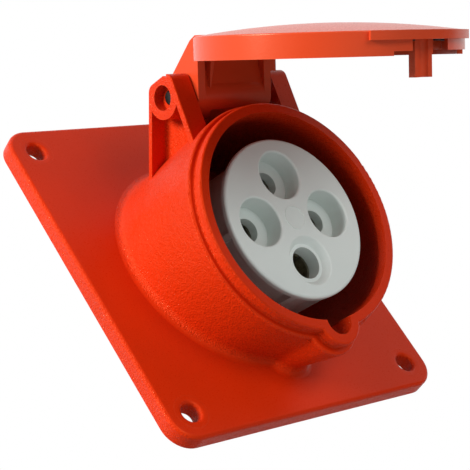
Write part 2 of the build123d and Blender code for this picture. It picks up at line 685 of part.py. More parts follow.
def contact(name):
    """Slotted sleeve and terminal body in one turned piece."""
    bore, sleeve, _, body, _ = contact_radii(name)
    front = CONTACTS[name][2] + SLEEVE_END_GAP
    shoulder = front + SLEEVE_BORE_DEPTH + SHANK_LENGTH
    back = rear_end - SLEEVE_END_GAP
    shape = rod(sleeve, front, shoulder) + rod(body, shoulder, back)
    shape -= rod(bore, front, front + SLEEVE_BORE_DEPTH)
    shape -= rod(WIRE_HOLE_RADIUS, back - WIRE_HOLE_DEPTH, back)
    slit_middle = -(front + SLEEVE_SLIT_LENGTH / 2)
    for turn in (45, 135):
        shape -= Pos(0, 0, slit_middle) * Rot(0, 0, turn) * Box(3 * sleeve, SLEEVE_SLIT, SLEEVE_SLIT_LENGTH)
    angle = CONTACTS[name][0]
    tapped = Plane(origin=(0, 0, -screw_depth()), x_dir=(0, 0, 1), z_dir=(cos(radians(angle)), sin(radians(angle)), 0))
    shape -= extrude(tapped * Circle(TERMINAL_SCREW_RADIUS + SCREW_HOLE_GAP), 2 * body)
    return at_contact(name) * shape


def screw_depth():
    """Depth of the terminal screws' axes below the lip."""
    return rear_end - TERMINAL_SCREW_BACK


def terminal_screw(name):
    """Slotted grub screw that points outwards from its terminal."""
    angle = radians(CONTACTS[name][0])
    start = WIRE_HOLE_RADIUS + TERMINAL_SCREW_OPEN
    radial = Plane(
        origin=(start * cos(angle), start * sin(angle), -screw_depth()),
        x_dir=(0, 0, 1),
        z_dir=(cos(angle), sin(angle), 0),
    )
    screw = extrude(Circle(TERMINAL_SCREW_RADIUS), TERMINAL_SCREW_LENGTH)
    screw = chamfer(screw.edges().filter_by(GeomType.CIRCLE), TERMINAL_SCREW_CHAMFER)
    slot = Pos(0, 0, TERMINAL_SCREW_LENGTH) * Box(3 * TERMINAL_SCREW_RADIUS, SCREW_SLOT_WIDTH, 2 * SCREW_SLOT_DEPTH)
    return at_contact(name) * radial.location * (screw - slot)


def contact_spring(name):
    """Split ring that squeezes the slotted sleeve."""
    _, sleeve, ring, _, _ = contact_radii(name)
    front = CONTACTS[name][2] + SLEEVE_END_GAP + SPRING_RING_OFFSET
    shape = rod(ring, front, front + SPRING_RING_LENGTH)
    shape -= rod(sleeve + SPRING_RING_GAP, front, front + SPRING_RING_LENGTH)
    split = Pos(ring, 0, -front - SPRING_RING_LENGTH / 2) * Box(2 * ring, SPRING_RING_SPLIT, 2 * SPRING_RING_LENGTH)
    return at_contact(name) * (shape - split)


def contact_carrier():
    """Grey front disc of the insulating body, with three wells and the dished earth entry."""
    body = turned(
        [
            (0, -DISC_DEPTH),
            (DISC_RADIUS, -DISC_DEPTH),
            (DISC_RADIUS, -disc_back),
            (CORE_RADIUS, -disc_back),
            (CORE_RADIUS, -plate_back),
            (0, -plate_back),
        ],
        [((DISC_RADIUS, -DISC_DEPTH), DISC_EDGE_ROUND)],
    )
    body += ribs(disc_back, plate_back)
    for name in CONTACTS:
        body -= at_contact(name) * front_hollow(name)
    top_edges = body.edges().filter_by(GeomType.CIRCLE).filter_by_position(Axis.Z, -DISC_DEPTH, -DISC_DEPTH)
    body = fillet([edge for edge in top_edges if edge.radius < PITCH_RADIUS], WELL_EDGE_ROUND)
    ring = rod(CENTRE_RING_RADIUS, DISC_DEPTH - CENTRE_RING_RISE, DISC_DEPTH)
    ring -= rod(CENTRE_RING_RADIUS - CENTRE_RING_WALL, DISC_DEPTH - CENTRE_RING_RISE, DISC_DEPTH)
    return body + ring


def front_hollow(name):
    """What one contact takes out of the front disc, about the contact's own axis."""
    if name != "earth":
        return rod(WELL_RADIUS, DISC_DEPTH, plate_back)
    dish = turned(
        [
            (0, -DISC_DEPTH),
            (EARTH_RECESS_RADIUS, -DISC_DEPTH),
            (EARTH_RECESS_FLOOR_RADIUS, -DISC_DEPTH - EARTH_RECESS_DEPTH),
            (0, -DISC_DEPTH - EARTH_RECESS_DEPTH),
        ]
    )
    return dish + rod(EARTH_PIN_RADIUS + ENTRY_GAP, DISC_DEPTH, plate_back)


def ribs(top, bottom):
    """Narrow ribs along the outside of the insulating body."""
    strips = Part()
    for angle in RIB_ANGLES:
        strip = Box(2 * RIB_WIDTH, RIB_WIDTH, bottom - top, align=(Align.MAX, Align.CENTER, Align.MAX))
        strips += Rot(0, 0, angle) * Pos(RIB_RADIUS, 0, -top) * strip
    return strips


def carrier_core():
    """Middle of the insulating body, bored for the contact sleeves."""
    body = rod(CORE_RADIUS, plate_back, neck_back) + rod(DISC_RADIUS, FLOOR_DEPTH - NECK_LENGTH, neck_back)
    body += ribs(plate_back, FLOOR_DEPTH - NECK_LENGTH)
    for name, (_, pin, entry_end) in CONTACTS.items():
        body -= at_contact(name) * rod(pin + ENTRY_GAP, plate_back, neck_back)
        body -= at_contact(name) * rod(contact_radii(name)[4], entry_end, neck_back)
    return body


def carrier_base():
    """Rear of the insulating body: the collar that is screwed to the housing and the terminal chambers."""
    body = rod(BORE_RADIUS - COLLAR_GAP, neck_back, rear_start) + rod(REAR_RADIUS, rear_start, rear_end)
    for name in CONTACTS:
        body -= at_contact(name) * rod(contact_radii(name)[4], neck_back, rear_end)
        body -= driver_hole(name)
    for side in (-1, 1):
        body -= rod(CARRIER_SCREW_RADIUS + CARRIER_SCREW_GAP, neck_back, rear_start, x=side * CARRIER_SCREW_PITCH)
    screw_end = rear_end + RETAINER_THICKNESS - RETAINER_SCREW_LENGTH - TAP_END_GAP
    return body - rod(RETAINER_SCREW_RADIUS + SCREW_HOLE_GAP, screw_end, rear_end)


def driver_hole(name):
    """Side opening through which a terminal screw is turned."""
    angle = radians(CONTACTS[name][0])
    radial = Plane(
        origin=(PITCH_RADIUS * cos(angle), PITCH_RADIUS * sin(angle), -screw_depth()),
        x_dir=(0, 0, 1),
        z_dir=(cos(angle), sin(angle), 0),
    )
    return extrude(radial * Circle(TERMINAL_SCREW_RADIUS + DRIVER_GAP), REAR_RADIUS)


def terminal_retainer():
    """Plate behind the carrier that keeps the contacts in, with a wire entry for each."""
    back = rear_end + RETAINER_THICKNESS
    plate = rod(REAR_RADIUS, rear_end, back)
    rim = plate.edges().filter_by(GeomType.CIRCLE).sort_by(Axis.Z)[0]
    plate = fillet(rim, DISC_EDGE_ROUND)
    for name in CONTACTS:
        plate -= at_contact(name) * rod(WIRE_HOLE_RADIUS + RETAINER_WIRE_GAP, rear_end, back)
    return plate - rod(RETAINER_SCREW_RADIUS + SCREW_HOLE_GAP, rear_end, back)


def pan_screw(radius, length, seat, x):
    """Slotted pan-head screw that points towards the mouth, its head's underside at a given depth."""
    head = turned(
        [(0, 0), (HEAD_RADIUS, 0), (HEAD_RADIUS, -HEAD_HEIGHT), (0, -HEAD_HEIGHT)],
        [((HEAD_RADIUS, -HEAD_HEIGHT), HEAD_ROUND)],
    )
    shank = chamfer(rod(radius, -length, 0).edges().sort_by(Axis.Z)[-1], SCREW_POINT_CHAMFER)
    slot = Pos(0, 0, -HEAD_HEIGHT) * Box(3 * HEAD_RADIUS, SCREW_SLOT_WIDTH, 2 * SCREW_SLOT_DEPTH)
    return Pos(x, 0, -seat) * (head + shank - slot)


pieces = {
    "housing": housing(),
    "flange_gasket": gasket_ring(GASKET_SIDE_GAP),
    "lid": mouth.location * lid(),
    "lid_gasket": mouth.location * lid_gasket(),
    "hinge_pin": mouth.location * hinge_pin(),
    "lid_spring": mouth.location * lid_spring(),
    "contact_carrier": mouth.location * contact_carrier(),
    "carrier_core": mouth.location * carrier_core(),
    "carrier_base": mouth.location * carrier_base(),
    "terminal_retainer": mouth.location * terminal_retainer(),
    "retainer_screw": mouth.location
    * pan_screw(RETAINER_SCREW_RADIUS, RETAINER_SCREW_LENGTH, rear_end + RETAINER_THICKNESS, 0),
}
for side, x in (("left", -CARRIER_SCREW_PITCH), ("right", CARRIER_SCREW_PITCH)):
    length = COLLAR_THICKNESS + CARRIER_SCREW_BITE
    pieces[f"carrier_screw_{side}"] = mouth.location * pan_screw(CARRIER_SCREW_RADIUS, length, rear_start, x)
for name in CONTACTS:
    pieces[f"contact_{name}"] = mouth.location * contact(name)
    pieces[f"contact_spring_{name}"] = mouth.location * contact_spring(name)
    pieces[f"terminal_screw_{name}"] = mouth.location * terminal_screw(name)

for name, shape in pieces.items():
    export_step(shape, f"parts/{name}.step")
    print(name, len(shape.solids()), round(shape.volume, 1))
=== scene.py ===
import json
from math import cos, pi, radians, sin

import bmesh
import bpy
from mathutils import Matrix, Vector

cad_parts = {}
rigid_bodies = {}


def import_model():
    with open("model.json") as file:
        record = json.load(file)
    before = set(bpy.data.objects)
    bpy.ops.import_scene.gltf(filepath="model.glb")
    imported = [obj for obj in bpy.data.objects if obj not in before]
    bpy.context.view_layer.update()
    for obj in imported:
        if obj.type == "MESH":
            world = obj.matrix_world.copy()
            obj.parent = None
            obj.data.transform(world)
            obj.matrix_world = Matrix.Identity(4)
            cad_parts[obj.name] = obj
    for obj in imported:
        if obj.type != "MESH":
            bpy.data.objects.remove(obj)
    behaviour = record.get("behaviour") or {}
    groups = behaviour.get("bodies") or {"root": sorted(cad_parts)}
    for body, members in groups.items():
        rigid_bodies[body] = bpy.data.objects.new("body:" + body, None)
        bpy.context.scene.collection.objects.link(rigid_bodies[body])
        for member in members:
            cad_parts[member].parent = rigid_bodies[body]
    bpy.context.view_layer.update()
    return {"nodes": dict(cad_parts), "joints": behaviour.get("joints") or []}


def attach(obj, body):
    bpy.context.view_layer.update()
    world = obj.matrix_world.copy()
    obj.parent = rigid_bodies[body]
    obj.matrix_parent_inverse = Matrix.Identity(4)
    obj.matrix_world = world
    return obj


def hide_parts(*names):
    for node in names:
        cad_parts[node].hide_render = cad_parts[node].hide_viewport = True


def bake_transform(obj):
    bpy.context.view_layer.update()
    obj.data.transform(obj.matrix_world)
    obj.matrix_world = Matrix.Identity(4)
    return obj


bl_info = {
    "name": "Industrial panel socket",
    "version": (1, 0, 0),
    "blender": (4, 5, 0),
    "location": "3D View > Sidebar > Panel socket",
    "description": "Dresses the red angled panel socket with its plastics, metals and studio",
    "category": "Object",
}

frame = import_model()
nodes = frame["nodes"]
hinge_joint = frame["joints"][0]

# The mouth leans down from the panel's normal. OUT points out of it, and UP runs up its plane.
TILT = radians(18)
OUT = Vector((0, -cos(TILT), -sin(TILT)))
UP = Vector((0, -sin(TILT), cos(TILT)))
MOUTH = Vector((0, -0.0351891, -0.0108336))
HINGE = Vector(hinge_joint["pos_m"])

# Camera fitted to the photo, on a 36 mm sensor
CAMERA_PLACE = (-0.269034, -0.256718, -0.172259)
CAMERA_TURN_DEGREES = (119.70348713, 29.45679051, -32.07768137)
SENSOR_WIDTH_MM = 36.0

# Place and width of the square lamps, and the point that they look at
KEY_LAMP = ((-0.76, -0.12, 0.38), 0.30)
FILL_LAMP = ((0.0, -0.93, -0.12), 0.40)
LAMP_TARGET = (0, -0.03, 0)

FLOOR_HALF_WIDTH = 3.0
FLOOR_HEIGHT = -0.55


# ---- helpers for nodes

def clear_tree(tree):
    tree.nodes.clear()
    return tree


def add(tree, kind, inputs=None, **attributes):
    """One node with its attributes, and with constants or links set on its inputs."""
    node = tree.nodes.new(kind)
    for name, value in attributes.items():
        setattr(node, name, value)
    for key, value in (inputs or {}).items():
        socket = node.inputs[key]
        if isinstance(value, bpy.types.NodeSocket):
            tree.links.new(value, socket)
        else:
            socket.default_value = value
    return node


def math_node(tree, operation, first, second=0.0, clamp=False):
    node = add(tree, "ShaderNodeMath", {0: first, 1: second}, operation=operation, use_clamp=clamp)
    return node.outputs[0]


def noise(tree, vector, scale, detail=2.0, roughness=0.5):
    """Fractal noise with its mean at one half; scale is in cells for each metre."""
    node = add(
        tree,
        "ShaderNodeTexNoise",
        {"Vector": vector, "Scale": scale, "Detail": detail, "Roughness": roughness},
    )
    return node.outputs["Fac"]


def ramp(tree, value, low, high, out_low=0.0, out_high=1.0):
    node = add(
        tree,
        "ShaderNodeMapRange",
        {"Value": value, "From Min": low, "From Max": high, "To Min": out_low, "To Max": out_high},
        interpolation_type="SMOOTHSTEP",
    )
    return node.outputs["Result"]


def mix_colour(tree, factor, first, second, blend="MIX"):
    node = add(tree, "ShaderNodeMix", data_type="RGBA", blend_type=blend)
    for key, value in (("Factor", factor), ("A", first), ("B", second)):
        sockets = [s for s in node.inputs if s.name == key and s.enabled]
        if isinstance(value, bpy.types.NodeSocket):
            tree.links.new(value, sockets[0])
        else:
            sockets[0].default_value = value
    return [s for s in node.outputs if s.enabled][0]


def new_group(name, inputs, outputs):
    """An empty shader node group; each input is (name, default) and each output (name, kind)."""
    tree = bpy.data.node_groups.new(name, "ShaderNodeTree")
    for label, default in inputs:
        socket = tree.interface.new_socket(label, in_out="INPUT", socket_type="NodeSocketFloat")
        socket.default_value = default
    for label, kind in outputs:
        tree.interface.new_socket(label, in_out="OUTPUT", socket_type=kind)
    entry = tree.nodes.new("NodeGroupInput")
    leave = tree.nodes.new("NodeGroupOutput")
    return tree, entry, leave


def moulded_grain_group():
    """Fine spark-eroded texture of a moulded face: a height for bump, and a mask of tiny glints."""
    tree, entry, leave = new_group(
        "Moulded grain",
        [("Cells", 1500.0), ("Glints", 0.5)],
        [("Height", "NodeSocketFloat"), ("Glint mask", "NodeSocketFloat")],
    )
    place = add(tree, "ShaderNodeTexCoord").outputs["Object"]
    fine = noise(tree, place, entry.outputs["Cells"], 2.0, 0.6)
    coarse_scale = math_node(tree, "MULTIPLY", entry.outputs["Cells"], 0.31)
    coarse = noise(tree, place, coarse_scale, 1.0, 0.5)
    height = math_node(tree, "ADD", fine, math_node(tree, "MULTIPLY", coarse, 0.6))
    tree.links.new(height, leave.inputs["Height"])
    sharp = ramp(tree, fine, 0.58, 0.72)
    tree.links.new(math_node(tree, "MULTIPLY", sharp, entry.outputs["Glints"]), leave.inputs["Glint mask"])
    return tree


def edge_wear_group():
    """How near a point is to an edge, from 0 on open faces to 1 on the edge."""
    tree, entry, leave = new_group(
        "Edge wear",
        [("Radius", 0.0006), ("Break up", 0.5)],
        [("Mask", "NodeSocketFloat")],
    )
    place = add(tree, "ShaderNodeTexCoord").outputs["Object"]
    normal = add(tree, "ShaderNodeNewGeometry").outputs["Normal"]
    rounded = add(tree, "ShaderNodeBevel", {"Radius": entry.outputs["Radius"]}, samples=4).outputs[0]
    dot = add(tree, "ShaderNodeVectorMath", {0: normal, 1: rounded}, operation="DOT_PRODUCT").outputs["Value"]
    edge = ramp(tree, dot, 0.995, 0.8)
    patches = ramp(tree, noise(tree, place, 420.0, 3.0, 0.6), 0.38, 0.62)
    kept = math_node(tree, "MULTIPLY", patches, entry.outputs["Break up"])
    rest = math_node(tree, "SUBTRACT", 1.0, entry.outputs["Break up"])
    broken_up = math_node(tree, "ADD", kept, rest)
    tree.links.new(math_node(tree, "MULTIPLY", edge, broken_up), leave.inputs["Mask"])
    return tree


def settled_dust_group():
    """Faint settled dust: more on faces that look up, in soft patches."""
    tree, entry, leave = new_group("Settled dust", [("Amount", 0.1)], [("Mask", "NodeSocketFloat")])
    place = add(tree, "ShaderNodeTexCoord").outputs["Object"]
    normal = add(tree, "ShaderNodeNewGeometry").outputs["Normal"]
    up = add(tree, "ShaderNodeSeparateXYZ", {0: normal}).outputs["Z"]
    lying = ramp(tree, up, -0.2, 1.0)
    patches = ramp(tree, noise(tree, place, 60.0, 4.0, 0.6), 0.3, 0.75)
    tree.links.new(
        math_node(tree, "MULTIPLY", math_node(tree, "MULTIPLY", lying, patches), entry.outputs["Amount"]),
        leave.inputs["Mask"],
    )
    return tree


def polished_face_group():
    """1 where a face looks along the socket's own axis, and 0 on side walls, which carry the grain."""
    tree, entry, leave = new_group("Polished faces", [("Smoothest", 1.0)], [("Mask", "NodeSocketFloat")])
    normal = add(tree, "ShaderNodeNewGeometry").outputs["Normal"]
    dot = add(tree, "ShaderNodeVectorMath", {0: normal, 1: OUT}, operation="DOT_PRODUCT").outputs["Value"]
    facing = ramp(tree, math_node(tree, "ABSOLUTE", dot), 0.80, 0.93)
    tree.links.new(math_node(tree, "MULTIPLY", facing, entry.outputs["Smoothest"]), leave.inputs["Mask"])
    return tree


def painted_mouth_shade_group():
    """Painted shade: 1 on the wall inside the mouth, where the deep bore lies in shade, fading in below the
    lip.
    """
    tree, entry, leave = new_group(
        "Painted mouth shade", [("Radius", 0.0289), ("Fade depth", 0.007)], [("Mask", "NodeSocketFloat")]
    )
    place = add(tree, "ShaderNodeTexCoord").outputs["Object"]
    from_mouth = add(tree, "ShaderNodeVectorMath", {0: place, 1: MOUTH}, operation="SUBTRACT").outputs[0]
    out = add(tree, "ShaderNodeVectorMath", {0: from_mouth, 1: OUT}, operation="DOT_PRODUCT").outputs["Value"]
    along = add(tree, "ShaderNodeVectorMath", {0: OUT, "Scale": out}, operation="SCALE").outputs[0]
    across = add(tree, "ShaderNodeVectorMath", {0: from_mouth, 1: along}, operation="SUBTRACT").outputs[0]
    radius = add(tree, "ShaderNodeVectorMath", {0: across}, operation="LENGTH").outputs["Value"]
    inside = math_node(tree, "LESS_THAN", radius, entry.outputs["Radius"])
    depth = math_node(tree, "DIVIDE", math_node(tree, "MULTIPLY", out, -1.0), entry.outputs["Fade depth"])
    tree.links.new(math_node(tree, "MULTIPLY", inside, ramp(tree, depth, 0.0, 1.0)), leave.inputs["Mask"])
    return tree


def tone_drift_group():
    """Slow drift of tone, as in any moulded or plated face."""
    tree, entry, leave = new_group("Tone drift", [("Cells", 40.0)], [("Value", "NodeSocketFloat")])
    place = add(tree, "ShaderNodeTexCoord").outputs["Object"]
    tree.links.new(noise(tree, place, entry.outputs["Cells"], 3.0, 0.55), leave.inputs["Value"])
    return tree


def group_node(tree, group, **values):
    """A use of a node group; an underscore in a value's name stands for a space in the input's."""
    node = add(tree, "ShaderNodeGroup", node_tree=group)
    for label, value in values.items():
        node.inputs[label.replace("_", " ")].default_value = value
    return node


def start_material(name):
    """A material with an empty tree but for its shader and output."""
    material = bpy.data.materials.new(name)
    material.use_nodes = True
    tree = clear_tree(material.node_tree)
    shader = add(tree, "ShaderNodeBsdfPrincipled")
    add(tree, "ShaderNodeOutputMaterial", {"Surface": shader.outputs[0]})
    return material, tree, shader


def rgba(values):
    return (*values[:3], 1.0)


def dimmed(colour, share):
    return rgba([channel * share for channel in colour[:3]])


def plastic(name, colour, edge_colour, dust_colour, grain, groups):
    """Moulded plastic: tone drift, worn edges, dust, painted shade inside the mouth, and the mould's grain as
    bump and as changes of gloss.

    In grain, "cells" and "drift_cells" are for each metre, "edge" and "bump_depth" are lengths in metres,
    and "drift" and "inside" are the share of the colour left where it drifts and, as painted shade, inside
    the mouth.
    """
    material, tree, shader = start_material(name)
    drift = group_node(tree, groups["Tone drift"], Cells=grain["drift_cells"]).outputs["Value"]
    edge = group_node(tree, groups["Edge wear"], Radius=grain["edge"], Break_up=0.6).outputs["Mask"]
    dust = group_node(tree, groups["Settled dust"], Amount=grain["dust"]).outputs["Mask"]
    texture = group_node(tree, groups["Moulded grain"], Cells=grain["cells"], Glints=grain["glints"])
    tone = mix_colour(tree, ramp(tree, drift, 0.3, 0.7), colour, dimmed(colour, grain["drift"]))
    # Painted shade: the colour is darkened inside the mouth, standing in for the shade of the deep bore.
    inside = group_node(tree, groups["Painted mouth shade"]).outputs["Mask"]
    tone = mix_colour(tree, inside, tone, dimmed(colour, grain["inside"]))
    worn = mix_colour(tree, math_node(tree, "MULTIPLY", edge, grain["wear"]), tone, edge_colour)
    dusty = mix_colour(tree, dust, worn, dust_colour)
    tree.links.new(dusty, shader.inputs["Base Color"])
    rough = math_node(tree, "SUBTRACT", grain["roughness"], texture.outputs["Glint mask"])
    rough = math_node(tree, "ADD", rough, math_node(tree, "MULTIPLY", dust, 0.4), clamp=True)
    tree.links.new(rough, shader.inputs["Roughness"])
    polished = group_node(tree, groups["Polished faces"], Smoothest=grain["polish"]).outputs["Mask"]
    textured = math_node(tree, "SUBTRACT", 1.0, polished)
    bump = add(
        tree,
        "ShaderNodeBump",
        {
            "Strength": grain["bump"], "Distance": grain["bump_depth"],
            "Height": math_node(tree, "MULTIPLY", texture.outputs["Height"], textured),
        },
    )
    tree.links.new(bump.outputs[0], shader.inputs["Normal"])
    shader.inputs["Specular IOR Level"].default_value = grain["specular"]
    shader.inputs["Specular Tint"].default_value = grain["tint"]
    return material


def metal(name, colour, stain, roughness, scratch_cells, groups):
    """Plated or bare metal with a drift of tarnish and a fine grain as bump and as changes of gloss."""
    material, tree, shader = start_material(name)
    drift = group_node(tree, groups["Tone drift"], Cells=220.0).outputs["Value"]
    tone = mix_colour(tree, ramp(tree, drift, 0.35, 0.75), colour, stain)
    tree.links.new(tone, shader.inputs["Base Color"])
    texture = group_node(tree, groups["Moulded grain"], Cells=scratch_cells, Glints=0.12)
    rough = math_node(tree, "SUBTRACT", roughness, texture.outputs["Glint mask"], clamp=True)
    tree.links.new(rough, shader.inputs["Roughness"])
    bump = add(
        tree,
        "ShaderNodeBump",
        {"Strength": 0.25, "Distance": 0.00003, "Height": texture.outputs["Height"]},
    )
    tree.links.new(bump.outputs[0], shader.inputs["Normal"])
    shader.inputs["Metallic"].default_value = 1.0
    return material


def dress(piece, material):
    """Gives a piece one material."""
    piece.data.materials.clear()
    piece.data.materials.append(material)


def shared_groups():
    """The node groups, made once."""
    makers = {
        "Moulded grain": moulded_grain_group,
        "Edge wear": edge_wear_group,
        "Settled dust": settled_dust_group,
        "Tone drift": tone_drift_group,
        "Polished faces": polished_face_group,
        "Painted mouth shade": painted_mouth_shade_group,
    }
    return {label: bpy.data.node_groups.get(label) or maker() for label, maker in makers.items()}


def new_object(context, name, data):
    piece = bpy.data.objects.new(name, data)
    context.scene.collection.objects.link(piece)
    return piece


def add_to_housing(context, name, mesh):
    """Turns a bmesh into a piece in the housing's plastic that stays with the socket."""
    bmesh.ops.recalc_face_normals(mesh, faces=mesh.faces)
    data = bpy.data.meshes.new(name)
    mesh.to_mesh(data)
    mesh.free()
    piece = new_object(context, name, data)
    dress(piece, nodes["housing"].data.materials[0])
    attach(piece, hinge_joint["parent"])
    return piece


class SocketLooks(bpy.types.PropertyGroup):
    red: bpy.props.FloatVectorProperty(
        name="Housing red", description="Colour of the housing",
        default=(0.64, 0.026, 0.002), size=3, subtype="COLOR", min=0, max=1,
    )
    lid_red: bpy.props.FloatVectorProperty(
        name="Lid red", description="Colour of the lid, whose moulding is glossier and a little more orange",
        default=(0.62, 0.055, 0.014), size=3, subtype="COLOR", min=0, max=1,
    )
    grey: bpy.props.FloatVectorProperty(
        name="Carrier grey", description="Colour of the contact carrier",
        default=(0.73, 0.80, 0.765), size=3, subtype="COLOR", min=0, max=1,
    )
    grain_cells: bpy.props.FloatProperty(
        name="Grain cells", description="Grain cells of the red moulding for each metre",
        default=2300.0, min=200.0, max=8000.0,
    )
    grain_depth: bpy.props.FloatProperty(
        name="Grain depth", description="Depth of the red moulding's grain",
        default=0.00034, min=0.0, max=0.001, unit="LENGTH",
    )


class WallSizes(bpy.types.PropertyGroup):
    width: bpy.props.FloatProperty(
        name="Wall width", description="Width of the wall between the hinge ears",
        default=0.0284, min=0.01, max=0.04, unit="LENGTH",
    )
    wall: bpy.props.FloatProperty(
        name="Wall thickness", description="Thickness of the wall behind the knuckle",
        default=0.0014, min=0.0005, max=0.003, unit="LENGTH",
    )
    depth: bpy.props.FloatProperty(
        name="Wall depth", description="Depth of the wall's middle below the lip",
        default=0.02015, min=0.01, max=0.03, unit="LENGTH",
    )
    bottom: bpy.props.FloatProperty(
        name="Wall foot", description="Height of the wall's foot above the mouth's axis",
        default=0.0355, min=0.03, max=0.04, unit="LENGTH",
    )
    top: bpy.props.FloatProperty(
        name="Wall top", description="Height of the wall's top above the mouth's axis",
        default=0.0402, min=0.036, max=0.045, unit="LENGTH",
    )
    edge: bpy.props.FloatProperty(
        name="Wall edge", description="Rounding of the wall's upper edges",
        default=0.0004, min=0.0, max=0.0006, unit="LENGTH",
    )


class RimSizes(bpy.types.PropertyGroup):
    side: bpy.props.FloatProperty(
        name="Hole side", description="Distance of the fixing holes from the middle, sideways",
        default=0.0385, min=0.03, max=0.045, unit="LENGTH",
    )
    height: bpy.props.FloatProperty(
        name="Hole height", description="Distance of the fixing holes from the middle, upwards",
        default=0.0425, min=0.03, max=0.05, unit="LENGTH",
    )
    inner: bpy.props.FloatProperty(
        name="Hole radius", description="Radius of a hole below its rounded edge",
        default=0.0026, min=0.002, max=0.0028, unit="LENGTH",
    )
    back: bpy.props.FloatProperty(
        name="Back radius", description="Radius of a hole at the back of the flange",
        default=0.0025, min=0.002, max=0.0028, unit="LENGTH",
    )
    edge: bpy.props.FloatProperty(
        name="Hole edge", description="Rounding of a hole's front edge",
        default=0.0009, min=0.0002, max=0.0015, unit="LENGTH",
    )
    outer: bpy.props.FloatProperty(
        name="Rim radius", description="Outer radius of a rim, inside the flange's recess",
        default=0.00468, min=0.004, max=0.0047, unit="LENGTH",
    )
    bore: bpy.props.FloatProperty(
        name="Sleeve radius", description="Outer radius of a rim inside the flange's hole",
        default=0.00288, min=0.0028, max=0.0029, unit="LENGTH",
    )
    face: bpy.props.FloatProperty(
        name="Rim face", description="Distance of a rim's face from the mounting face",
        default=0.0044, min=0.004, max=0.0044, unit="LENGTH",
    )
    seat: bpy.props.FloatProperty(
        name="Rim seat", description="Distance of the recess's floor from the mounting face",
        default=0.00401, min=0.004, max=0.0043, unit="LENGTH",
    )
    foot: bpy.props.FloatProperty(
        name="Rim foot", description="Distance of a rim's foot from the mounting face",
        default=0.0002, min=0.0, max=0.002, unit="LENGTH",
    )


class SpringSizes(bpy.types.PropertyGroup):
    wire: bpy.props.FloatProperty(
        name="Wire", description="Diameter of the spring's wire",
        default=0.0011, min=0.0004, max=0.002, unit="LENGTH",
    )
    radius: bpy.props.FloatProperty(
        name="Coil radius", description="Mean radius of the coil",
        default=0.0033, min=0.002, max=0.006, unit="LENGTH",
    )
    length: bpy.props.FloatProperty(
        name="Coil length", description="Distance between the middles of the first and last turn",
        default=0.015, min=0.005, max=0.03, unit="LENGTH",
    )
    full_turns: bpy.props.IntProperty(
        name="Turns", description="Whole turns of the coil", default=8, min=2, max=30,
    )


class StageSettings(bpy.types.PropertyGroup):
    lens: bpy.props.FloatProperty(
        name="Lens", description="Focal length of the camera on a 36 mm sensor",
        default=116.25, min=20.0, max=300.0, subtype="DISTANCE_CAMERA",
    )
    key_power: bpy.props.FloatProperty(
        name="Key lamp", description="Power of the soft lamp above and to the left of the socket",
        default=10.8, min=0.0, max=200.0, subtype="POWER",
    )
    fill_power: bpy.props.FloatProperty(
        name="Fill lamp", description="Power of the soft lamp in front of the socket",
        default=2.9, min=0.0, max=200.0, subtype="POWER",
    )
    world_level: bpy.props.FloatProperty(
        name="Room light", description="Strength of the light that comes from all round",
        default=0.135, min=0.0, max=2.0,
    )


class SOCKET_OT_red_mouldings(bpy.types.Operator):
    """Dress the housing and the lid in grained red plastic"""

    bl_idname = "panel_socket.red_mouldings"
    bl_label = "Red mouldings"

    def execute(self, context):
        looks = context.scene.socket_looks
        # The "inside" share of 0.4 darkens the housing and the lid inside the mouth as painted shade.
        grain = {
            "cells": looks.grain_cells, "glints": 0.38, "drift_cells": 25.0, "drift": 0.90, "edge": 0.0005,
            "dust": 0.035, "wear": 0.10, "roughness": 0.38, "bump": 1.0, "polish": 0.93, "inside": 0.4,
            "bump_depth": looks.grain_depth, "specular": 0.34, "tint": (1.0, 0.34, 0.12, 1.0),
        }
        smooth = {
            **grain, "glints": 0.04, "roughness": 0.27, "bump": 0.06, "specular": 0.42,
            "tint": (1.0, 0.66, 0.44, 1.0),
        }
        for name, colour, surface in (("housing", looks.red, grain), ("lid", looks.lid_red, smooth)):
            red = plastic(
                f"Red moulded plastic, {name}", rgba(colour), (0.95, 0.16, 0.06, 1), (0.75, 0.55, 0.5, 1),
                surface, shared_groups(),
            )
            dress(nodes[name], red)
        return {"FINISHED"}


class SOCKET_OT_knuckle_wall(bpy.types.Operator):
    """Raise the wall between the hinge ears so that it stands behind the knuckle"""

    bl_idname = "panel_socket.knuckle_wall"
    bl_label = "Wall behind the knuckle"

    def execute(self, context):
        sizes = context.scene.socket_wall
        mesh = bmesh.new()
        rows = []
        for depth in (sizes.depth - sizes.wall / 2, sizes.depth + sizes.wall / 2):
            for up in (sizes.bottom, sizes.top):
                ends = (-sizes.width / 2, sizes.width / 2)
                rows.append([mesh.verts.new(MOUTH + Vector((x, 0, 0)) - OUT * depth + UP * up) for x in ends])
        front_foot, front_top, back_foot, back_top = rows
        around = (front_foot, front_top, back_top, back_foot)
        for first, second in zip(around, around[1:] + around[:1]):
            mesh.faces.new((*first, *reversed(second)))
        for end in (0, 1):
            mesh.faces.new([row[end] for row in around])
        top = {*front_top, *back_top}
        upper = [edge for edge in mesh.edges if set(edge.verts) <= top]
        bmesh.ops.bevel(mesh, geom=upper, offset=sizes.edge, segments=3, affect="EDGES", profile=0.5)
        add_to_housing(context, "knuckle_wall", mesh)
        return {"FINISHED"}


